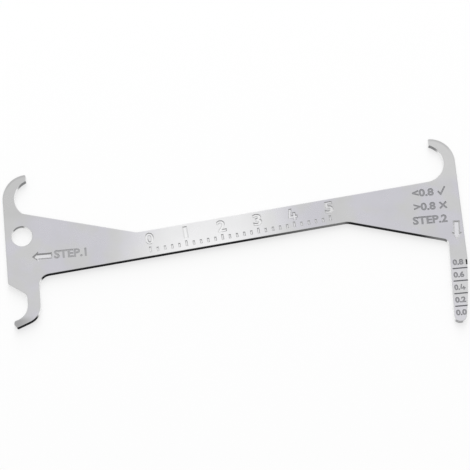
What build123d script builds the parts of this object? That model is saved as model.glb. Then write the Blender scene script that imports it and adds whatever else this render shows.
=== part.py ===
# Chain wear gauge: one flat piece of stainless sheet with hooks at both ends and a measuring prong.
# The plate lies on its back face. X runs along its length, Y across it and Z through the sheet.
# The origin is at the middle of its box, on the back face. Lengths are in millimetres, angles in degrees.
# Outline points are drawn from the centre of the roller seat in the lower hook.
from build123d import *
from math import cos, radians, sin, sqrt, tan
import os

# Roller chain that the gauge measures
chain_pitch = 12.7
roller_diameter = 7.75
pitches_spanned = 10

# Wear scale on the prong, in percent of the pitch
wear_limit = 0.8
wear_step = 0.2
limit_mark_depth = 0.8
mark_spacing = 3.53
mark_width = 0.35
mark_groove_depth = 0.15
mark_inset = 0.55

# Sheet
sheet_thickness = 2.0
edge_round = 0.4

# Lower hook, which holds the first roller
seat_clearance = 0.4
seat_inset = 0.7
lead_height = 6.1
lead_slope = 35.0
lead_root_fillet = 2.0
lead_corner_round = 0.8
stem_width = 3.7
toe_width = 2.15
toe_slope = 21.0
toe_heel_round = 5.0
toe_tip_setback = 0.6
toe_tip_round = 0.9

# Upper hooks, one at each end
mouth_radius = 5.35
mouth_height = 30.0
hook_root_width = 3.45
hook_crown_width = 1.7
hook_tip_setback = 1.8
hook_tip_round = 0.6
mouth_lip_round = 1.5

# Bar and the flares at its ends
bar_slope = 4.95
bar_width = 7.55
left_flare_length = 36.15
left_lip_angle = 130.0
right_flare_length = 31.55
right_flare_slope = 15.9
waist_round = 4.0
stem_fillet = 3.0

# Measuring prong
prong_play = 0.2
prong_inner_lean = 3.0
prong_tip_length = 0.8
prong_tip_round = 1.7
prong_root_fillet = 1.5
shoulder_step = 0.35
shoulder_height = 1.6
shoulder_end_height = 1.05
shoulder_round = 0.5

# Hang hole
hang_hole_diameter = 5.5
hang_hole_side_web = 2.0
hang_hole_mouth_web = 2.55


# Points of the measuring edge
seat_radius = roller_diameter / 2 + seat_clearance


def measuring_point(depth):
    """The point of the measuring edge at this depth below the seat. It touches a roller of a chain
    that is worn by the percentage which the scale gives at that depth."""
    wear = wear_limit - wear_step * (depth - limit_mark_depth) / mark_spacing
    roller_gap = pitches_spanned * chain_pitch * (1 + wear / 100) - roller_diameter
    reach = seat_radius + roller_gap
    return Vector(sqrt(reach**2 - depth**2), -depth)


mark_count = round(wear_limit / wear_step)
mark_depths = [limit_mark_depth + i * mark_spacing for i in range(mark_count)]
zero_depth = limit_mark_depth + mark_count * mark_spacing
tip_depth = zero_depth + prong_tip_length
limit_point = measuring_point(limit_mark_depth)
prong_width = chain_pitch - roller_diameter - prong_play


def prong_inner_point(depth):
    """The point of the prong's inner edge at this depth."""
    lean = (depth - limit_mark_depth) * tan(radians(prong_inner_lean))
    return Vector(limit_point.X - prong_width - lean, -depth)


# Extremes of the plate
hook_outer_radius = mouth_radius + hook_crown_width
left_edge = -seat_inset
right_edge = limit_point.X + shoulder_step
plate_top = mouth_height + hook_outer_radius
plate_bottom = -tip_depth
back_plane = Plane(origin=(-(left_edge + right_edge) / 2, -(plate_top + plate_bottom) / 2, 0))
front_plane = back_plane.offset(sheet_thickness)


# Helpers for points on circles and lines
def on_circle(centre, radius, angle):
    return centre + Vector(radius * cos(radians(angle)), radius * sin(radians(angle)))


def above(centre, radius, x):
    """The upper point of the circle at this x."""
    return Vector(x, centre.Y + sqrt(radius**2 - (x - centre.X) ** 2))


def below(centre, radius, x):
    """The lower point of the circle at this x."""
    return Vector(x, centre.Y - sqrt(radius**2 - (x - centre.X) ** 2))


def direction(angle):
    return Vector(cos(radians(angle)), sin(radians(angle)))


def on_line(point, heading, x):
    """The point at this x on the line through point along heading."""
    return point + heading * ((x - point.X) / heading.X)


# Circles of the hooks
seat_centre = Vector(0, 0)
left_mouth_centre = Vector(left_edge + hook_root_width + mouth_radius, mouth_height)
right_mouth_centre = Vector(right_edge - hook_root_width - mouth_radius, mouth_height)
left_outer_centre = Vector(left_edge + hook_outer_radius, mouth_height)
right_outer_centre = Vector(right_edge - hook_outer_radius, mouth_height)

# Bar: its top edge is tangent to the mouth of the right hook
bar_direction = direction(bar_slope)
bar_top_end = on_circle(right_mouth_centre, mouth_radius, bar_slope - 90)
bar_bottom_end = bar_top_end + direction(bar_slope - 90) * bar_width
top_waist = on_line(bar_top_end, bar_direction, left_edge + left_flare_length)
bottom_waist = on_line(bar_bottom_end, bar_direction, right_edge - right_flare_length)

# Lower hook: a stem down from the bar and a straight toe square to its own tip
stem_right = seat_radius + stem_width
stem_corner = on_line(bar_bottom_end, bar_direction, stem_right)
toe_direction = direction(toe_slope)
toe_middle = on_circle(seat_centre, seat_radius + toe_width, toe_slope - 90)
heel_corner = on_line(toe_middle, toe_direction, stem_right)
toe_tip_inner = below(seat_centre, seat_radius, left_edge + toe_tip_setback)
toe_tip_outer = toe_middle + toe_direction * toe_tip_inner.dot(toe_direction)
lead_corner = Vector(left_edge, lead_height)
lead_root = on_line(lead_corner, direction(-lead_slope), seat_radius)

# Hang hole: its webs to the side edge and to the height of the mouth's lowest point
hang_hole_radius = hang_hole_diameter / 2
hang_hole_centre = Vector(
    left_edge + hang_hole_side_web + hang_hole_radius,
    mouth_height - mouth_radius - hang_hole_mouth_web - hang_hole_radius,
)


# Plate
with BuildPart() as gauge_plate:
    with BuildSketch(back_plane) as profile:
        with BuildLine():
            # Left upper hook, from the side edge round the tip into the mouth
            left_tip_x = left_mouth_centre.X - hook_tip_setback
            left_tip_top = above(left_outer_centre, hook_outer_radius, left_tip_x)
            left_tip_inner = above(left_mouth_centre, mouth_radius, left_tip_x)
            ThreePointArc(
                left_outer_centre - Vector(hook_outer_radius, 0),
                on_circle(left_outer_centre, hook_outer_radius, 135),
                left_tip_top,
            )
            Line(left_tip_top, left_tip_inner)
            left_lip = on_circle(left_mouth_centre, mouth_radius, -left_lip_angle)
            ThreePointArc(left_tip_inner, left_mouth_centre - Vector(mouth_radius, 0), left_lip)

            # Top edge of the left flare and of the bar, running into the right hook
            Line(left_lip, top_waist)
            right_tip_x = right_mouth_centre.X + hook_tip_setback
            right_tip_top = above(right_outer_centre, hook_outer_radius, right_tip_x)
            right_tip_inner = above(right_mouth_centre, mouth_radius, right_tip_x)
            Line(top_waist, bar_top_end)
            ThreePointArc(bar_top_end, right_mouth_centre + Vector(mouth_radius, 0), right_tip_inner)
            Line(right_tip_inner, right_tip_top)
            ThreePointArc(
                right_tip_top,
                on_circle(right_outer_centre, hook_outer_radius, 45),
                right_outer_centre + Vector(hook_outer_radius, 0),
            )

            # Measuring prong
            shoulder_top = Vector(right_edge, shoulder_height)
            shoulder_end = measuring_point(-shoulder_end_height)
            prong_outer_tip = measuring_point(tip_depth)
            prong_inner_tip = prong_inner_point(tip_depth)
            Line(right_outer_centre + Vector(hook_outer_radius, 0), shoulder_top)
            Line(shoulder_top, shoulder_end)
            ThreePointArc(shoulder_end, measuring_point(tip_depth / 2), prong_outer_tip)
            Line(prong_outer_tip, prong_inner_tip)
            prong_line = Line(prong_inner_tip, prong_inner_point(-plate_top), mode=Mode.PRIVATE)
            right_flare = IntersectingLine(bottom_waist, direction(-right_flare_slope), prong_line)
            prong_root = right_flare @ 1
            Line(prong_inner_tip, prong_root)

            # Bottom edge of the bar, down the stem and along the toe to its tip
            Line(bottom_waist, stem_corner)
            Line(stem_corner, heel_corner)
            Line(heel_corner, toe_tip_outer)
            Line(toe_tip_outer, toe_tip_inner)

            # Roller seat and the straight lead up to the side edge
            seat_side = seat_centre + Vector(seat_radius, 0)
            ThreePointArc(toe_tip_inner, on_circle(seat_centre, seat_radius, -45), seat_side)
            Line(seat_side, lead_root)
            Line(lead_root, lead_corner)
            Line(lead_corner, left_outer_centre - Vector(hook_outer_radius, 0))
        make_face()
        corner_rounds = [
            (left_tip_top, hook_tip_round),
            (left_tip_inner, hook_tip_round),
            (left_lip, mouth_lip_round),
            (top_waist, waist_round),
            (right_tip_inner, hook_tip_round),
            (right_tip_top, hook_tip_round),
            (shoulder_top, shoulder_round),
            (shoulder_end, shoulder_round),
            (prong_outer_tip, prong_tip_round),
            (prong_inner_tip, prong_tip_round),
            (prong_root, prong_root_fillet),
            (bottom_waist, waist_round),
            (stem_corner, stem_fillet),
            (heel_corner, toe_heel_round),
            (toe_tip_outer, toe_tip_round),
            (toe_tip_inner, toe_tip_round),
            (lead_root, lead_root_fillet),
            (lead_corner, lead_corner_round),
        ]
        for corner, radius in corner_rounds:
            fillet(profile.vertices().sort_by_distance(corner)[0], radius)
        with Locations(hang_hole_centre):
            Circle(hang_hole_radius, mode=Mode.SUBTRACT)
    extrude(amount=sheet_thickness)

    # Tumbled edges on both faces, round the outline and the hang hole
    flat_faces = gauge_plate.faces().filter_by(Axis.Z)
    fillet(flat_faces.edges(), edge_round)

    # Graduation grooves on the front, each from near the inner edge out through the measuring edge
    with BuildSketch(front_plane):
        for depth in mark_depths:
            groove_start = prong_inner_point(depth).X + mark_inset
            groove_end = right_edge
            with Locations(((groove_start + groove_end) / 2, -depth)):
                Rectangle(groove_end - groove_start, mark_width)
    extrude(amount=-mark_groove_depth, mode=Mode.SUBTRACT)

gauge_plate.part.label = "gauge_plate"

os.makedirs("parts", exist_ok=True)
export_step(gauge_plate.part, "parts/gauge_plate.step")

size = gauge_plate.part.bounding_box().size
print(f"gauge_plate {size.X:.3f} x {size.Y:.3f} x {size.Z:.3f} mm, {gauge_plate.part.volume:.2f} mm3")
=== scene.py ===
from math import cos, radians, sin, tan

import bmesh
import bpy
from mathutils import Matrix, Vector


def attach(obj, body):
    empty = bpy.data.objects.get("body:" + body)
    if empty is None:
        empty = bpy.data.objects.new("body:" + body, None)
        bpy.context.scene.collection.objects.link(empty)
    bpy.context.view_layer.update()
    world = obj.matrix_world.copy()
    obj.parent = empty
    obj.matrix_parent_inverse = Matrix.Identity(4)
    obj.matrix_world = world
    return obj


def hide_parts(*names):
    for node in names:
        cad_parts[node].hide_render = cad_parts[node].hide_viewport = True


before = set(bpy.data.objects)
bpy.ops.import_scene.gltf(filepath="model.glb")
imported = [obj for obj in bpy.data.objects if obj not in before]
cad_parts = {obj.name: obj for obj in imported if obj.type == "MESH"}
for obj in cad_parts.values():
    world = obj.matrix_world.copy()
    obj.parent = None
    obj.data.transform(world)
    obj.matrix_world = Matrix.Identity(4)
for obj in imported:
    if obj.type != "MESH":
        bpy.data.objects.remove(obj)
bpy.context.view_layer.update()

MM = 0.001
scene = bpy.context.scene

# Sheet
FRONT_Z = 2.0

# Shading: edges that turn by more than the crease stay sharp, and faces this level stay flat
CREASE = 32
FLAT_COSINE = 0.9999

# Graduation grooves of the prong, as the CAD cuts them, and the slack with which their faces are found
MARK_SPACING = 3.53
FIRST_GROOVE_Y = -11.465
GROOVE_COUNT = 4
GROOVE_Y = [FIRST_GROOVE_Y - MARK_SPACING * index for index in range(GROOVE_COUNT)]
GROOVE_HALF = 0.19
GROOVE_FLOOR = 1.85
GROOVE_LEFT = 57.0
GROOVE_SLACK = 0.005

# Depths of the marks, and how far their cutters stand up over the face
ARROW_DEPTH = 0.4
SCALE_DEPTH = 0.2
TEXT_DEPTH = 0.13
NICK_DEPTH = 0.35
CUTTER_RISE = 0.5

# Letters: a capital's share of the font's size, and the steps of each curve
CAP_HEIGHT = 0.73
GLYPH_STEPS = 3

# Points of a mesh that are closer than this are one
WELD = 1e-4

# A wave in each mark, too slight to see. It keeps separate edges of a glyph off one straight line,
# which would leave gaps in the cut.
WAVE = 0.002
WAVE_RATE = 3

# Arrows: tip, end of the shaft, length of the head, and half widths of the head and of the shaft
LEFT_ARROW = ((-55.05, 2.5), (-50.5, 2.5), 0.75, 0.6, 0.45)
DOWN_ARROW = ((60.55, -2.8), (60.9, 1.7), 1.2, 0.8, 0.55)

# Scale on the bar, along its slope and from its middle
BAR_MIDDLE = Vector((1.5, 5.63))
BAR_SLOPE = 4.95
TICK_COUNT = 26
TICK_SPACING = 2.0
TICK_START = -25.0
TICK_HALF = 0.12
TICK_BOTTOM = -2.4
TICK_TOP = -1.6
LONG_TICK_TOP = -1.2
TICKS_PER_DIGIT = 5
DIGIT_BOTTOM = -0.4
DIGIT_WIDTH = 2.2
DIGIT_HEIGHT = 3.0
ONE_WIDTH = 1.0
FOUR_STROKE = 0.45

# Step numbers and readings: text, lower left corner, width and height
LEGENDS = [
    ("STEP.1", (-49.6, 1.45), 8.9, 2.4),
    ("STEP.2", (49.05, 1.85), 9.5, 2.3),
    ("<0.8", (49.7, 9.8), 6.0, 2.2),
    (">0.8", (49.75, 5.75), 6.0, 2.25),
]
LEGEND_WEIGHT = 0.11

# Check mark and cross beside the readings
CHECK_MARK = [(0.0, 1.1), (0.35, 1.4), (0.85, 0.75), (2.0, 2.6), (2.4, 2.35), (0.95, 0.0), (0.75, 0.0)]
CHECK_CORNER = (56.7, 9.7)
CROSS_MIDDLE = (57.85, 6.85)
CROSS_HALF = 1.1
CROSS_WAIST = 0.36

# Numbers of the prong, each further down and a little further left. The 4 is a shape of its own.
NUMBERS = ("0.8", "0.6", "0.4", "0.2", "0.0")
NUMBER_LEFT = 58.45
NUMBER_LEAN = 0.2
NUMBER_BOTTOM = -10.55
NUMBER_WIDTH = 2.95
NUMBER_HEIGHT = 1.65
NUMBER_WEIGHT = 0.1
ZERO_POINT_WIDTH = 1.5
SMALL_FOUR_LEFT = 1.65
SMALL_FOUR_WIDTH = 1.4
SMALL_FOUR_STROKE = 0.33

# Nick on the shoulder of the prong
NICK_PLACE = (62.35, -9.85)
NICK_BOX = (-0.3, -0.7, 0.2, 0.7)

# Centres of the hang hole and of the right upper hook's outer round
HOLE_CENTRE = Vector((-58.044, 8.685, 0.0))
HOOK_CENTRE = Vector((55.744, 19.335))

# Spans over which the colours change, and how strong the changes are
HOOK_TONE_X = (-30, 30)
HOOK_START_Y = (12, 16)
TOE_X = (-61, -54.5)
TOE_Y = (-15.2, -13.5)
PRONG_X = (54, 56)
PRONG_Y = (-12, -8)
PRONG_SHARE = 0.25
HOOK_LINE_INSIDE = (6.1, 6.6)
HOOK_LINE_OUTSIDE = (6.7, 7.2)
HOOK_LINE_RISE = (2, 4.5)
HOOK_LINE_SHARE = 0.4
BRIGHT_START_X = (-38, -13)
BRIGHT_END_X = (-2, 23)
BRIGHT_ACROSS = (2.5, 8.5)
BRIGHT_TOP_SHARE = 0.85
LETTER_FADE_X = (-35, 45)
LETTER_FADE_SHARE = 0.4

# Spans over which the painted shade of the walls changes, and how strong its fades are
UPPER_Y = (5, 8)
TIP_Y = (-23, -21)
HOLE_RIM = (3.2, 3.52)
HOLE_LIT_Z = (0.5, 1.5)
BAR_FADE_X = (2, 26)
BAR_FADE_END_X = (30, 32)
BAR_FADE_SHARE = 0.2
PRONG_FADE_X = (50, 56)
PRONG_FADE_SHARE = 0.22

# Walls that face these points get painted shade: the sheared outline, and the slopes of the stamped
# marks.
# A reach holds two cosines of the turn to the point, where the painted shade starts and where it is full.
WALL_SHADE_POINT = Vector((3.0, -180.0, 0.0))
WALL_SHADE_REACH = (0.745, 0.91)
STAMP_SHADE_POINT = Vector((-38.0, -55.0, 0.0))
STAMP_SHADE_REACH = (-0.1, 0.7)

# How far a surface leans out of the face, from 0 on the face to 1 on a wall, where the painted highlight
# of the rounds and the painted shade of the walls start and are full
ROUND_LEAN = (0.2, 0.8)
WALL_LEAN = (0.42, 0.68)

# Cosines of a round's turn to the back, where its painted highlight starts to dim and where it is
# dimmest, and the share of the painted highlight left there
BACK_TURN = (0.4, 0.9)
BACK_SHARE = 0.4

# Colours of the steel. Clouds run between the two colours of a pair.
VIOLET = ((0.545, 0.54, 0.58, 1), (0.6, 0.594, 0.636, 1))
NEUTRAL = ((0.55, 0.55, 0.553, 1), (0.6, 0.6, 0.603, 1))
HOOKS = ((0.54, 0.54, 0.54, 1), (0.6, 0.6, 0.6, 1))
BRIGHT_STEEL = ((0.83, 0.83, 0.838, 1), (0.865, 0.865, 0.872, 1))
GROOVES = ((0.13, 0.13, 0.14, 1), (0.25, 0.25, 0.27, 1))
LETTERS = ((0.25, 0.25, 0.26, 1), (0.41, 0.41, 0.43, 1))
# Near-black painted shade for the nick on the prong's shoulder
NICK_SHADE = ((0.03, 0.03, 0.03, 1), (0.08, 0.08, 0.08, 1))
# Darker grey of the toe, also taken by the painted shade line on the hooks
TOE = (0.37, 0.37, 0.372, 1)
# Painted highlight on the rounds
ROUND_HIGHLIGHT = (0.92, 0.92, 0.92, 1)
# Painted shade on the walls: the lower edges, then the hooks, the hole and the tip, then the stamped
# marks
LOWER_WALL_SHADE = (0.02, 0.02, 0.022, 1)
UPPER_WALL_SHADE = (0.29, 0.29, 0.295, 1)
STAMPED_WALL_SHADE = (0.31, 0.31, 0.315, 1)
# Share of painted highlight laid over the faces of the stamped marks, which makes their bottoms bright
STAMPED_PAINTED_SHINE = 0.4

# Fineness of the finish, in waves per metre: clouds and patches of colour, patches of roughness,
# grain, and scratches in four directions. Heights are in millimetres.
CLOUD_SCALE = 90
PATCH_SCALE = 110
ROUGH_SCALE = 220
GRAIN_SCALE = 9000
SCRATCH_SCALE = 1500
SCRATCH_STRETCH = (0.03, 1, 1)
SCRATCH_TURNS = (12, -38, 71, 128)
SCRATCH_HEIGHT = 0.006
SCRATCH_STRENGTH = 0.35
STEEL_ROUGHNESS = (0.26, 0.36)

# The same in the bottoms of the small marks, which shine less
ETCHED_CLOUD_SCALE = 1200
ETCHED_GRAIN_SCALE = 12000
ETCHED_HEIGHT = 0.01
ETCHED_STRENGTH = 0.5
ETCHED_ROUGHNESS = (0.5, 0.65)
ETCHED_METALLIC = 0.8

# Parts of a noise's range over which its patches change
NOISE_MIDDLE = (0.3, 0.7)
PATCH_EDGE = (0.42, 0.58)

# Keeps the part of a vector that lies in the plane of the sheet
IN_PLANE = (1, 1, 0)


# Helpers for node trees
def new_material(name):
    material = bpy.data.materials.new(name)
    material.use_nodes = True
    tree = material.node_tree
    return material, tree, tree.nodes["Principled BSDF"]


def add(tree, kind, **settings):
    node = tree.nodes.new(kind)
    for key, value in settings.items():
        setattr(node, key, value)
    return node


def feed(tree, sockets, values):
    """Link each value that is a socket, and set the others."""
    for socket, value in zip(sockets, values):
        if isinstance(value, bpy.types.NodeSocket):
            tree.links.new(value, socket)
        else:
            socket.default_value = value


def math_node(tree, operation, *values):
    node = add(tree, "ShaderNodeMath", operation=operation)
    feed(tree, node.inputs, values)
    return node.outputs[0]


def product(tree, a, b):
    return math_node(tree, "MULTIPLY", a, b)


def rest_of(tree, share):
    return math_node(tree, "SUBTRACT", 1.0, share)


def vector_node(tree, operation, *values):
    node = add(tree, "ShaderNodeVectorMath", operation=operation)
    feed(tree, node.inputs, values)
    return node.outputs["Value" if operation in ("DOT_PRODUCT", "LENGTH") else "Vector"]


def split(tree, vector):
    """The x, y and z of a vector."""
    node = add(tree, "ShaderNodeSeparateXYZ")
    tree.links.new(vector, node.inputs[0])
    return node.outputs


def ramp(tree, value, low, high, start=0.0, end=1.0):
    """A smooth step from start to end while the value goes from low to high."""
    node = add(tree, "ShaderNodeMapRange", interpolation_type="SMOOTHSTEP")
    feed(tree, node.inputs, (value, low, high, start, end))
    return node.outputs["Result"]


def over(tree, value, span, start=0.0, end=1.0):
    """A smooth step over a span of millimetres."""
    return ramp(tree, value, span[0] * MM, span[1] * MM, start, end)


def mix_colour(tree, factor, a, b):
    node = add(tree, "ShaderNodeMix", data_type="RGBA")
    feed(tree, (node.inputs[0], node.inputs[6], node.inputs[7]), (factor, a, b))
    return node.outputs[2]


def noise(tree, coordinates, scale, detail, turn=0.0, stretch=(1, 1, 1)):
    mapping = add(tree, "ShaderNodeMapping")
    tree.links.new(coordinates, mapping.inputs["Vector"])
    mapping.inputs["Rotation"].default_value = (0, 0, radians(turn))
    mapping.inputs["Scale"].default_value = stretch
    texture = add(tree, "ShaderNodeTexNoise")
    tree.links.new(mapping.outputs["Vector"], texture.inputs["Vector"])
    texture.inputs["Scale"].default_value = scale
    texture.inputs["Detail"].default_value = detail
    return texture.outputs["Fac"]


def bump(tree, shader, height, strength, distance):
    node = add(tree, "ShaderNodeBump")
    node.inputs["Strength"].default_value = strength
    node.inputs["Distance"].default_value = distance
    tree.links.new(height, node.inputs["Height"])
    tree.links.new(node.outputs["Normal"], shader.inputs["Normal"])


# Colour of the face
def patchy_steel(tree, spot, clouds):
    patches = ramp(tree, noise(tree, spot, PATCH_SCALE, 2.0), *PATCH_EDGE)
    violet = mix_colour(tree, clouds, *VIOLET)
    neutral = mix_colour(tree, clouds, *NEUTRAL)
    return mix_colour(tree, patches, violet, neutral)


def hook_line(tree, x, y):
    """The share of painted shade in a line close to the outer edge of each upper hook."""
    aside = math_node(tree, "SUBTRACT", math_node(tree, "ABSOLUTE", x), HOOK_CENTRE.x * MM)
    up = math_node(tree, "SUBTRACT", y, HOOK_CENTRE.y * MM)
    squares = math_node(tree, "ADD", product(tree, aside, aside), product(tree, up, up))
    radius = math_node(tree, "SQRT", squares)
    inside = over(tree, radius, HOOK_LINE_INSIDE)
    outside = over(tree, radius, HOOK_LINE_OUTSIDE, 1.0, 0.0)
    rise = over(tree, up, HOOK_LINE_RISE, 0.0, HOOK_LINE_SHARE)
    return product(tree, product(tree, inside, outside), rise)


def bar_wear(tree, x, y):
    """The share of brighter colour along the middle of the bar."""
    across = math_node(tree, "SUBTRACT", y, product(tree, x, tan(radians(BAR_SLOPE))))
    along = product(tree, over(tree, x, BRIGHT_START_X), over(tree, x, BRIGHT_END_X, 1.0, 0.0))
    return product(tree, along, over(tree, across, BRIGHT_ACROSS, 1.0, BRIGHT_TOP_SHARE))


def face_colour(tree, spot, x, y):
    """Violet and neutral patches, neutral hooks, a darker toe, and a brighter prong and bar."""
    clouds = noise(tree, spot, CLOUD_SCALE, 3.0)
    face = patchy_steel(tree, spot, clouds)
    hooks = mix_colour(tree, over(tree, x, HOOK_TONE_X), *HOOKS)
    face = mix_colour(tree, over(tree, y, HOOK_START_Y), face, hooks)
    toe = product(tree, over(tree, x, TOE_X, 1.0, 0.0), over(tree, y, TOE_Y, 1.0, 0.0))
    face = mix_colour(tree, toe, face, TOE)
    prong = product(tree, over(tree, x, PRONG_X), over(tree, y, PRONG_Y, PRONG_SHARE, 0.0))
    face = mix_colour(tree, prong, face, BRIGHT_STEEL[0])
    # Painted shade in a line close to the outer edge of each upper hook
    face = mix_colour(tree, hook_line(tree, x, y), face, TOE)
    return mix_colour(tree, bar_wear(tree, x, y), face, mix_colour(tree, clouds, *BRIGHT_STEEL))


# Painted highlight on the rounds and painted shade on the walls
def round_shine(tree, heading, lean):
    """The share of painted highlight on the rounds and walls, less along the back edges."""
    backward = vector_node(tree, "DOT_PRODUCT", heading, (0, 1, 0))
    return product(tree, ramp(tree, lean, *ROUND_LEAN), ramp(tree, backward, *BACK_TURN, 1.0, BACK_SHARE))


def facing_dark(tree, spot, heading, lean, shade_point, reach):
    """The share of painted shade on the walls that turn to the shade point."""
    flat_spot = vector_node(tree, "MULTIPLY", spot, IN_PLANE)
    ahead = vector_node(tree, "SUBTRACT", shade_point * MM, flat_spot)
    facing = vector_node(tree, "DOT_PRODUCT", heading, vector_node(tree, "NORMALIZE", ahead))
    return product(tree, ramp(tree, facing, *reach), ramp(tree, lean, *WALL_LEAN))


def hole_light(tree, spot, z):
    """The share of light on the hang hole's wall near the back face."""
    off_hole = vector_node(tree, "SUBTRACT", spot, HOLE_CENTRE * MM)
    radius = vector_node(tree, "LENGTH", vector_node(tree, "MULTIPLY", off_hole, IN_PLANE))
    return product(tree, over(tree, radius, HOLE_RIM, 1.0, 0.0), over(tree, z, HOLE_LIT_Z, 1.0, 0.0))


def edge_fade(tree, x, upper):
    """How much the painted shade fades along the bar to its right end, and again towards the prong."""
    start = over(tree, x, BAR_FADE_X, 0.0, BAR_FADE_SHARE)
    along_bar = product(tree, start, over(tree, x, BAR_FADE_END_X, 1.0, 0.0))
    fade = math_node(tree, "ADD", along_bar, over(tree, x, PRONG_FADE_X, 0.0, PRONG_FADE_SHARE))
    return product(tree, fade, rest_of(tree, upper))


def scratch(tree, shader, spot):
    """Patches of roughness, grain and fine tumbling scratches."""
    patches = noise(tree, spot, ROUGH_SCALE, 4.0)
    roughness = ramp(tree, patches, *NOISE_MIDDLE, *STEEL_ROUGHNESS)
    tree.links.new(roughness, shader.inputs["Roughness"])
    height = noise(tree, spot, GRAIN_SCALE, 2.0)
    for turn in SCRATCH_TURNS:
        lines = noise(tree, spot, SCRATCH_SCALE, 1.0, turn, SCRATCH_STRETCH)
        height = math_node(tree, "ADD", height, lines)
    bump(tree, shader, height, SCRATCH_STRENGTH, SCRATCH_HEIGHT * MM)


# Satin steel with painted highlight on the rounds and painted shade on the walls. Painted shine lifts the
# colour of the face towards the highlight. The painted shade takes two colours, the first on the lower
# edges and the second on the hooks, the hole and the prong's tip.
def steel_material(name, painted_shine, shade_point, reach, wall_shade_colours):
    material, tree, shader = new_material(name)
    where = add(tree, "ShaderNodeTexCoord")
    spot = where.outputs["Object"]
    x, y, z = split(tree, spot)
    outward = vector_node(tree, "MULTIPLY", where.outputs["Normal"], IN_PLANE)
    heading = vector_node(tree, "NORMALIZE", outward)
    lean = vector_node(tree, "LENGTH", outward)
    # Painted shine: the face colour lifted towards the highlight colour by a set share
    face = mix_colour(tree, painted_shine, face_colour(tree, spot, x, y), ROUND_HIGHLIGHT)
    # Painted highlight on the rounds, dimmer along the back edges
    face = mix_colour(tree, round_shine(tree, heading, lean), face, ROUND_HIGHLIGHT)

    # Painted shade on the walls that turn to the shade point, lighter low in the hole and along the bar
    upper = over(tree, y, UPPER_Y)
    tip = over(tree, y, TIP_Y, 1.0, 0.0)
    shade = mix_colour(tree, math_node(tree, "ADD", upper, tip), *wall_shade_colours)
    dark = facing_dark(tree, spot, heading, lean, shade_point, reach)
    dark = product(tree, dark, rest_of(tree, hole_light(tree, spot, z)))
    dark = product(tree, dark, rest_of(tree, edge_fade(tree, x, upper)))
    tree.links.new(mix_colour(tree, dark, face, shade), shader.inputs["Base Color"])
    tree.links.new(rest_of(tree, dark), shader.inputs["Metallic"])
    shader.inputs["Specular IOR Level"].default_value = 0.0
    scratch(tree, shader, spot)
    return material


# Dull dark steel in the bottoms of the small marks, paler towards the left end. In the nick the
# near-black colour is painted shade.
def etched_material(name, colours):
    material, tree, shader = new_material(name)
    spot = add(tree, "ShaderNodeTexCoord").outputs["Object"]
    clouds = noise(tree, spot, ETCHED_CLOUD_SCALE, 3.0)
    paler = over(tree, split(tree, spot)["X"], LETTER_FADE_X, LETTER_FADE_SHARE, 0.0)
    colour = mix_colour(tree, paler, mix_colour(tree, clouds, *colours), NEUTRAL[0])
    tree.links.new(colour, shader.inputs["Base Color"])
    shader.inputs["Metallic"].default_value = ETCHED_METALLIC
    roughness = ramp(tree, clouds, *NOISE_MIDDLE, *ETCHED_ROUGHNESS)
    tree.links.new(roughness, shader.inputs["Roughness"])
    grain = noise(tree, spot, ETCHED_GRAIN_SCALE, 2.0)
    bump(tree, shader, grain, ETCHED_STRENGTH, ETCHED_HEIGHT * MM)
    return material


# Both steels carry painted highlight on the rounds and painted shade on the walls
steel = steel_material("satin_steel", 0.0, WALL_SHADE_POINT, WALL_SHADE_REACH, (LOWER_WALL_SHADE, UPPER_WALL_SHADE))
stamped = steel_material(
    "stamped_steel", STAMPED_PAINTED_SHINE, STAMP_SHADE_POINT, STAMP_SHADE_REACH, (STAMPED_WALL_SHADE, STAMPED_WALL_SHADE)
)
groove = etched_material("etched_groove", GROOVES)
etched = etched_material("etched_text", LETTERS)
# Near-black painted shade for the nick on the prong's shoulder
nick_shade = etched_material("nick_painted_shade", NICK_SHADE)


# Cutters for the stamped marks, in millimetres. A slope widens the outline towards the surface.
def solid_of(curve, depth, slope):
    curve.extrude = depth + CUTTER_RISE - slope
    curve.bevel_depth = slope
    curve.bevel_resolution = 0
    holder = bpy.data.objects.new("cutter", curve)
    scene.collection.objects.link(holder)
    graph = bpy.context.evaluated_depsgraph_get()
    mesh = bpy.data.meshes.new_from_object(holder.evaluated_get(graph))
    bpy.data.objects.remove(holder)
    return mesh


def placed(mesh, corner, turn):
    """The mesh, waved and turned, with its origin at this point of the front face."""
    for vertex in mesh.vertices:
        vertex.co.y += WAVE * sin(WAVE_RATE * vertex.co.x)
    lift = Matrix.Translation((corner[0], corner[1], FRONT_Z + CUTTER_RISE))
    mesh.transform(lift @ Matrix.Rotation(radians(turn), 4, "Z"))
    return mesh


def text_cutter(text, corner, width, height, depth, turn=0.0, slope=0.0, weight=0.0):
    """Text whose floor has this width and height. The corner is the lower left one."""
    curve = bpy.data.curves.new("text", "FONT")
    curve.body = text
    curve.size = height / CAP_HEIGHT
    curve.resolution_u = GLYPH_STEPS
    curve.offset = weight
    mesh = solid_of(curve, depth, slope)
    xs = [vertex.co.x for vertex in mesh.vertices]
    ys = [vertex.co.y for vertex in mesh.vertices]
    stretch = (width + 2 * slope) / (max(xs) - min(xs))
    rise = (height + 2 * slope) / (max(ys) - min(ys))
    mesh.transform(Matrix.Translation((-min(xs), -min(ys), 0)))
    mesh.transform(Matrix.Diagonal((stretch, rise, 1, 1)))
    return placed(mesh, corner, turn)


def shape_cutter(points, depth, corner=(0.0, 0.0), turn=0.0, slope=0.0):
    """A closed outline of straight sides, drawn from this corner."""
    curve = bpy.data.curves.new("shape", "CURVE")
    curve.dimensions = "2D"
    curve.fill_mode = "BOTH"
    spline = curve.splines.new("POLY")
    spline.points.add(len(points) - 1)
    for point, (px, py) in zip(spline.points, points):
        point.co = (px, py, 0, 1)
    spline.use_cyclic_u = True
    return placed(solid_of(curve, depth, slope), corner, turn)


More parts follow.
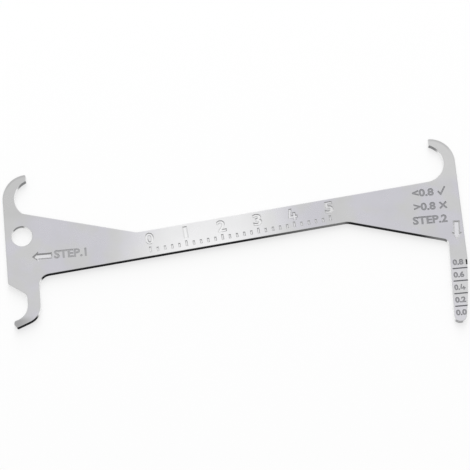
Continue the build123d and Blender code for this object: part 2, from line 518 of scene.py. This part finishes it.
def joined(name, meshes, material):
    """One closed cutter of several meshes."""
    work = bmesh.new()
    for mesh in meshes:
        work.from_mesh(mesh)
    bmesh.ops.remove_doubles(work, verts=work.verts, dist=WELD)
    bmesh.ops.recalc_face_normals(work, faces=work.faces)
    whole = bpy.data.meshes.new(name)
    work.to_mesh(whole)
    work.free()
    whole.materials.clear()
    whole.materials.append(material)
    for face in whole.polygons:
        face.material_index = 0
    cutter = bpy.data.objects.new(name, whole)
    scene.collection.objects.link(cutter)
    return cutter


# Outlines of the marks
def box(left, bottom, right, top):
    return [(left, bottom), (right, bottom), (right, top), (left, top)]


def turned(x, y, degrees):
    """The point turned about the origin."""
    angle = radians(degrees)
    return Vector((x * cos(angle) - y * sin(angle), x * sin(angle) + y * cos(angle)))


def on_bar(x, y):
    """A point of the bar's scale in plate coordinates."""
    return BAR_MIDDLE + turned(x, y, BAR_SLOPE)


def arrow(tip, end, neck, head_half, shaft_half):
    tip, end = Vector(tip), Vector(end)
    along = (end - tip).normalized()
    across = Vector((-along.y, along.x))
    base = tip + along * neck
    return [
        tip,
        base + across * head_half,
        base + across * shaft_half,
        end + across * shaft_half,
        end - across * shaft_half,
        base - across * shaft_half,
        base - across * head_half,
    ]


def open_four(width, height, stroke):
    """The outline of a 4 that is open at the top, from its lower left corner."""
    slant = 0.2 * width
    bar = 0.2 * height
    stem = 0.8 * width
    stem_top = 0.63 * height
    return [
        (slant, height),
        (0.0, bar + stroke),
        (0.0, bar),
        (stem - stroke, bar),
        (stem - stroke, 0.0),
        (stem, 0.0),
        (stem, bar),
        (width, bar),
        (width, bar + stroke),
        (stem, bar + stroke),
        (stem, stem_top),
        (stem - stroke, stem_top),
        (stem - stroke, bar + stroke),
        (stroke, bar + stroke),
        (slant + stroke, height),
    ]


def cross(half, waist):
    """A diagonal cross about its middle."""
    notch = [(half - waist, half), (0.0, waist), (waist - half, half)]
    return [turned(x, y, degrees) for degrees in (0, 90, 180, 270) for x, y in notch]


# Marks with bright bottoms: the two arrows and the scale on the bar
def arrows():
    outlines = [arrow(*LEFT_ARROW), arrow(*DOWN_ARROW)]
    return [shape_cutter(outline, ARROW_DEPTH, slope=ARROW_DEPTH) for outline in outlines]


def scale_tick(x, top):
    outline = [on_bar(px, py) for px, py in box(x - TICK_HALF, TICK_BOTTOM, x + TICK_HALF, top)]
    return shape_cutter(outline, SCALE_DEPTH, slope=SCALE_DEPTH)


def scale_digit(digit, x):
    width = ONE_WIDTH if digit == "1" else DIGIT_WIDTH
    corner = on_bar(x - width / 2, DIGIT_BOTTOM)
    if digit == "4":
        outline = open_four(width, DIGIT_HEIGHT, FOUR_STROKE)
        return shape_cutter(outline, SCALE_DEPTH, corner, BAR_SLOPE, SCALE_DEPTH)
    return text_cutter(digit, corner, width, DIGIT_HEIGHT, SCALE_DEPTH, BAR_SLOPE, SCALE_DEPTH)


def bar_scale():
    meshes = []
    for index in range(TICK_COUNT):
        x = TICK_START + TICK_SPACING * index
        digit, remainder = divmod(index, TICKS_PER_DIGIT)
        meshes.append(scale_tick(x, TICK_TOP if remainder else LONG_TICK_TOP))
        if not remainder:
            meshes.append(scale_digit(str(digit), x))
    return meshes


# Marks with dull bottoms: the step numbers, the readings and their signs, and the prong's numbers
def legends():
    return [
        text_cutter(text, corner, width, height, TEXT_DEPTH, weight=LEGEND_WEIGHT)
        for text, corner, width, height in LEGENDS
    ]


def signs():
    return [
        shape_cutter(CHECK_MARK, TEXT_DEPTH, CHECK_CORNER),
        shape_cutter(cross(CROSS_HALF, CROSS_WAIST), TEXT_DEPTH, CROSS_MIDDLE),
    ]


def number_cutter(text, left, bottom, width):
    return text_cutter(text, (left, bottom), width, NUMBER_HEIGHT, TEXT_DEPTH, weight=NUMBER_WEIGHT)


def prong_numbers():
    meshes = []
    for index, number in enumerate(NUMBERS):
        left = NUMBER_LEFT - NUMBER_LEAN * index
        bottom = NUMBER_BOTTOM - MARK_SPACING * index
        if number == "0.4":
            four = open_four(SMALL_FOUR_WIDTH, NUMBER_HEIGHT, SMALL_FOUR_STROKE)
            meshes.append(number_cutter("0.", left, bottom, ZERO_POINT_WIDTH))
            meshes.append(shape_cutter(four, TEXT_DEPTH, (left + SMALL_FOUR_LEFT, bottom)))
        else:
            meshes.append(number_cutter(number, left, bottom, NUMBER_WIDTH))
    return meshes


# A nick on the shoulder of the prong, coloured with near-black painted shade
def nick():
    return [shape_cutter(box(*NICK_BOX), NICK_DEPTH, NICK_PLACE)]


# Plate
def in_groove(point):
    beside = any(abs(point.y - y) < GROOVE_HALF for y in GROOVE_Y)
    sunk = GROOVE_FLOOR - GROOVE_SLACK < point.z < FRONT_Z - GROOVE_SLACK
    return beside and sunk and point.x > GROOVE_LEFT


def plate_mesh():
    """The CAD plate as one closed mesh, in millimetres."""
    work = bmesh.new()
    work.from_mesh(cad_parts["gauge_plate"].data)
    bmesh.ops.scale(work, vec=(1 / MM, 1 / MM, 1 / MM), verts=work.verts)
    bmesh.ops.remove_doubles(work, verts=work.verts, dist=WELD)
    mesh = bpy.data.meshes.new("gauge_plate_marked")
    work.to_mesh(mesh)
    work.free()
    mesh.materials.clear()
    mesh.materials.append(steel)
    mesh.materials.append(groove)
    for face in mesh.polygons:
        face.material_index = 1 if in_groove(face.center) else 0
    return mesh


def cut(target, name, meshes, material):
    """Cut the meshes out of the target, whose new faces take this material."""
    cutter = joined(name, meshes, material)
    modifier = target.modifiers.new("marks", "BOOLEAN")
    modifier.operation = "DIFFERENCE"
    modifier.solver = "EXACT"
    modifier.material_mode = "TRANSFER"
    modifier.object = cutter
    graph = bpy.context.evaluated_depsgraph_get()
    mesh = bpy.data.meshes.new_from_object(target.evaluated_get(graph))
    target.modifiers.clear()
    target.data = mesh
    bpy.data.objects.remove(cutter)


def smooth_over(mesh):
    """Smooth shading on the rounds and walls, with the flat faces and the creases kept crisp."""
    work = bmesh.new()
    work.from_mesh(mesh)
    for face in work.faces:
        face.smooth = abs(face.normal.z) < FLAT_COSINE
    for edge in work.edges:
        edge.smooth = edge.is_manifold and edge.calc_face_angle() < radians(CREASE)
    work.to_mesh(mesh)
    work.free()


plate = bpy.data.objects.new("plate", plate_mesh())
scene.collection.objects.link(plate)
cut(plate, "bright_cutter", arrows() + bar_scale(), stamped)
cut(plate, "dark_cutter", legends() + signs() + prong_numbers(), etched)
cut(plate, "nick_cutter", nick(), nick_shade)
plate.data.transform(Matrix.Scale(MM, 4))
smooth_over(plate.data)
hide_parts("gauge_plate")
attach(plate, "root")

# Studio, in metres
FLOOR_SIZE = 6
FLOOR_DROP = 0.02 * MM
FLOOR_COLOUR = (0.24, 0.24, 0.24, 1)
FLOOR_ROUGHNESS = 0.9
FLOOR_LIGHT = 0.67
WHITE = (1, 1, 1, 1)
KEY_PLACE = Vector((0, 1.1, 1.0))
KEY_SIZE = (0.8, 1.9)
KEY_POWER = 20.0

# Sky: a span of the direction's Y or X, and the strength of the light at its two ends
SKY_FRONT = (-0.85, -0.35, 0.47, 1.045)
SKY_SIDES = (0.1, 0.9, 1.0, 0.75)

# Camera at the photograph's viewing angle
AZIMUTH = -5.35
ELEVATION = 73.5
TARGET = Vector((0.15, 4.2, 0.0)) * MM
DISTANCE = 590.7 * MM
SENSOR_WIDTH = 36
FOCAL_LENGTH = 164.68
CLIP_START = 0.05


def floor_material():
    """Matt grey with some light of its own, for a white ground with soft shadows."""
    material, tree, shader = new_material("floor")
    shader.inputs["Base Color"].default_value = FLOOR_COLOUR
    shader.inputs["Roughness"].default_value = FLOOR_ROUGHNESS
    shader.inputs["Specular IOR Level"].default_value = 0.0
    shader.inputs["Emission Color"].default_value = WHITE
    shader.inputs["Emission Strength"].default_value = FLOOR_LIGHT
    return material


def add_floor():
    bpy.ops.mesh.primitive_plane_add(size=FLOOR_SIZE, location=(0, 0, -FLOOR_DROP))
    floor = bpy.context.object
    floor.name = "floor"
    floor.data.materials.append(floor_material())


def add_sky():
    """Pale, a little dimmer towards both sides and dimmer still towards the front."""
    world = bpy.data.worlds.new("studio")
    world.use_nodes = True
    scene.world = world
    tree = world.node_tree
    direction = split(tree, add(tree, "ShaderNodeTexCoord").outputs["Generated"])
    front = ramp(tree, direction["Y"], *SKY_FRONT)
    sides = ramp(tree, math_node(tree, "ABSOLUTE", direction["X"]), *SKY_SIDES)
    background = tree.nodes["Background"]
    background.inputs["Color"].default_value = WHITE
    tree.links.new(product(tree, front, sides), background.inputs["Strength"])


def add_key_light():
    """A soft key light from the back."""
    lamp = bpy.data.lights.new("key", "AREA")
    lamp.shape = "RECTANGLE"
    lamp.size, lamp.size_y = KEY_SIZE
    lamp.energy = KEY_POWER
    light = bpy.data.objects.new("key", lamp)
    light.location = KEY_PLACE
    light.rotation_mode = "QUATERNION"
    light.rotation_quaternion = (-KEY_PLACE).to_track_quat("-Z", "Y")
    light.visible_glossy = False
    scene.collection.objects.link(light)


def add_camera():
    azimuth = radians(AZIMUTH)
    elevation = radians(ELEVATION)
    back = Vector((sin(azimuth) * cos(elevation), -cos(azimuth) * cos(elevation), sin(elevation)))
    lens = bpy.data.cameras.new("camera")
    lens.sensor_width = SENSOR_WIDTH
    lens.lens = FOCAL_LENGTH
    lens.clip_start = CLIP_START
    camera = bpy.data.objects.new("camera", lens)
    camera.rotation_mode = "QUATERNION"
    camera.location = TARGET + back * DISTANCE
    camera.rotation_quaternion = (-back).to_track_quat("-Z", "Y")
    scene.collection.objects.link(camera)
    scene.camera = camera


add_floor()
add_sky()
add_key_light()
add_camera()
scene.view_settings.view_transform = "Standard"
